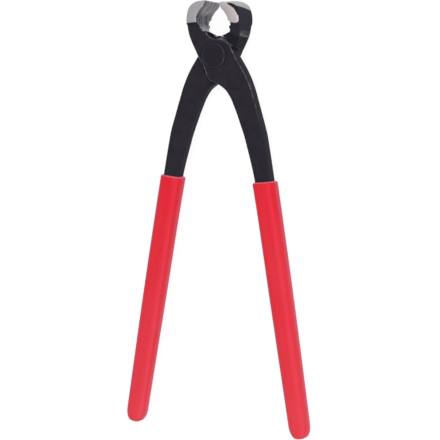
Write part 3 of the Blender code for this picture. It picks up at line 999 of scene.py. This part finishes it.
def build_pliers():
    sections = lever_sections()
    # In the order of the lever's material slots
    finishes = [
        black_look("blackened", BLACK_DEEP, BLACK_PALE, BLACK_GLOSS),
        ground_look("ground_steel"),
        milled_look("milled_steel"),
        brow_look("brow"),
        worn_glint_look("worn_glint_edge", EDGE_GLINT_STEEL),
        pocket_look("pocket"),
        black_look("saddle", BLACK_DEEP, BLACK_PALE, 0.0),
        # Painted fill light on the nose's wall in its shadowed gap
        black_look("nose_fill_light", BLACK_PALE, NOSE_FILL_GREY, 0.0),
        # Painted shade on the neck near the joint
        black_look("neck", BLACK_DEEP, BLACK_PALE, BLACK_GLOSS, NECK_SHADE_BLACK),
    ]
    lever = carved("lever", loft("lever_blank", sections, lever_slot), lever_cutters(), finishes)
    sides = [("front", 0.0, 1, FRONT_RIM_OFFSET), ("rear", math.pi, -1, REAR_RIM_OFFSET)]
    for side, turn, swing, rim_offset in sides:
        angle = swing * MOUTH_HALF_ANGLE
        plastic = grip_look(side + "_plastic", rim_offset)
        grip = carved("sleeve", grip_mesh(sections, rim_offset), [grip_bore(sections)], [plastic])
        put_piece(side + "_forging", lever.copy(), turn, angle, side, side + "_lever")
        put_piece(side + "_sleeve", grip, turn, angle, side, side + "_grip")
    rivet = turned_mesh("rivet_body", rivet_profile(0.0, CORNER_STEPS))
    rivet.materials.append(black_look("rivet_black", BLACK_DEEP, BLACK_DEEP, BLACK_GLOSS))
    # The rivet's rim: rubbed steel that also stands in for a painted glint of its ring
    rivet.materials.append(worn_glint_look("rivet_rim", RIM_GLINT_STEEL))
    for face in rivet.polygons:
        if RIM_STEEPEST < abs(face.normal.z) < RIM_FLATTEST:
            face.material_index = RIVET_RIM
    put_piece("pivot_rivet", rivet, 0.0, 0.0, "front", "rivet")


# Camera of the photograph
CAMERA_YAW = math.radians(26.0)
CAMERA_PITCH = math.radians(5.62)
CAMERA_ROLL = math.radians(0.4)
CAMERA_DISTANCE = 1.049
CAMERA_AIM = Vector((0.0012, -0.0953, RIVET_FACE))
CAMERA_LENS = 147.75
CAMERA_SENSOR = 36.0
CAMERA_FAR = 20.0


def put_camera():
    back = Vector((
        math.sin(CAMERA_YAW) * math.cos(CAMERA_PITCH),
        math.sin(CAMERA_PITCH),
        math.cos(CAMERA_YAW) * math.cos(CAMERA_PITCH),
    ))
    right = (-back).cross(Vector((0, 1, 0))).normalized()
    up = right.cross(-back)
    turn = Matrix((right, up, back)).transposed() @ Matrix.Rotation(CAMERA_ROLL, 3, "Z")
    camera = bpy.data.objects.new("camera", bpy.data.cameras.new("camera"))
    bpy.context.scene.collection.objects.link(camera)
    camera.matrix_world = Matrix.Translation(CAMERA_AIM + back * CAMERA_DISTANCE) @ turn.to_4x4()
    camera.data.lens = CAMERA_LENS
    camera.data.sensor_width = CAMERA_SENSOR
    camera.data.clip_end = CAMERA_FAR
    bpy.context.scene.camera = camera


# The floor: its reach, how far it is below the object, its grey in scattered light, and its grey and glow
# as it shows
FLOOR_REACH = 3.0
FLOOR_DROP = 0.1 * MM
FLOOR_GREY = (0.8, 0.8, 0.8, 1.0)
FLOOR_SHOWN = (0.14, 0.14, 0.14, 1.0)
FLOOR_GLOW = 0.90

# Strength of the sky as light and as it shows
SKY_LIGHT = 0.45
SKY_SHOWN = 1.0
SKY_WHITE = (1.0, 1.0, 1.0, 1.0)

# Lamps: name, place, size and power, all aimed at the middle of the object
LAMP_AIM = (0.0, -0.08, 0.0)
LAMPS = [
    ("key", (0.25, 0.40, 1.15), (0.9, 0.9), 8.6),
    ("fill", (1.3, -1.2, 1.3), (1.0, 1.0), 12.0),
]


def seen_directly(tree):
    """1 for camera, glossy and transmitted rays, 0 for the rest."""
    path = tree.nodes.new("ShaderNodeLightPath")
    total = path.outputs["Is Camera Ray"]
    for name in ("Is Glossy Ray", "Is Transmission Ray"):
        most = tree.nodes.new("ShaderNodeMath")
        most.operation = "MAXIMUM"
        tree.links.new(total, most.inputs[0])
        tree.links.new(path.outputs[name], most.inputs[1])
        total = most.outputs["Value"]
    return total


def put_floor():
    """A pale floor that shows as white and keeps a soft shadow."""
    bm = bmesh.new()
    bmesh.ops.create_grid(bm, x_segments=1, y_segments=1, size=FLOOR_REACH)
    floor = add_object("floor", finished(bm, "floor"))
    floor.location.z = CAD_BOX[0][2] - FLOOR_DROP
    look = bpy.data.materials.new("floor")
    look.use_nodes = True
    tree = look.node_tree
    tree.nodes.clear()
    plain = tree.nodes.new("ShaderNodeBsdfDiffuse")
    plain.inputs["Color"].default_value = FLOOR_GREY
    shown = tree.nodes.new("ShaderNodeBsdfDiffuse")
    shown.inputs["Color"].default_value = FLOOR_SHOWN
    glow = tree.nodes.new("ShaderNodeEmission")
    glow.inputs["Strength"].default_value = FLOOR_GLOW
    both = tree.nodes.new("ShaderNodeAddShader")
    choice = tree.nodes.new("ShaderNodeMixShader")
    out = tree.nodes.new("ShaderNodeOutputMaterial")
    tree.links.new(shown.outputs["BSDF"], both.inputs[0])
    tree.links.new(glow.outputs["Emission"], both.inputs[1])
    tree.links.new(seen_directly(tree), choice.inputs["Fac"])
    tree.links.new(plain.outputs["BSDF"], choice.inputs[1])
    tree.links.new(both.outputs["Shader"], choice.inputs[2])
    tree.links.new(choice.outputs["Shader"], out.inputs["Surface"])
    floor.data.materials.append(look)


def put_lamp(name, place, size, power):
    lamp = bpy.data.objects.new(name, bpy.data.lights.new(name, "AREA"))
    lamp.data.shape = "RECTANGLE"
    lamp.data.size, lamp.data.size_y = size
    lamp.data.energy = power
    lamp.location = place
    lamp.rotation_euler = (Vector(LAMP_AIM) - Vector(place)).to_track_quat("-Z", "Y").to_euler()
    bpy.context.scene.collection.objects.link(lamp)


def put_light():
    world = bpy.data.worlds.new("studio")
    world.use_nodes = True
    sky = world.node_tree.nodes["Background"]
    sky.inputs["Color"].default_value = SKY_WHITE
    bright = world.node_tree.nodes.new("ShaderNodeMapRange")
    bright.inputs["To Min"].default_value = SKY_LIGHT
    bright.inputs["To Max"].default_value = SKY_SHOWN
    world.node_tree.links.new(seen_directly(world.node_tree), bright.inputs["Value"])
    world.node_tree.links.new(bright.outputs["Result"], sky.inputs["Strength"])
    bpy.context.scene.world = world
    for name, place, size, power in LAMPS:
        put_lamp(name, place, size, power)


build_pliers()
put_camera()
put_floor()
put_light()
bpy.context.scene.view_settings.view_transform = "Standard"
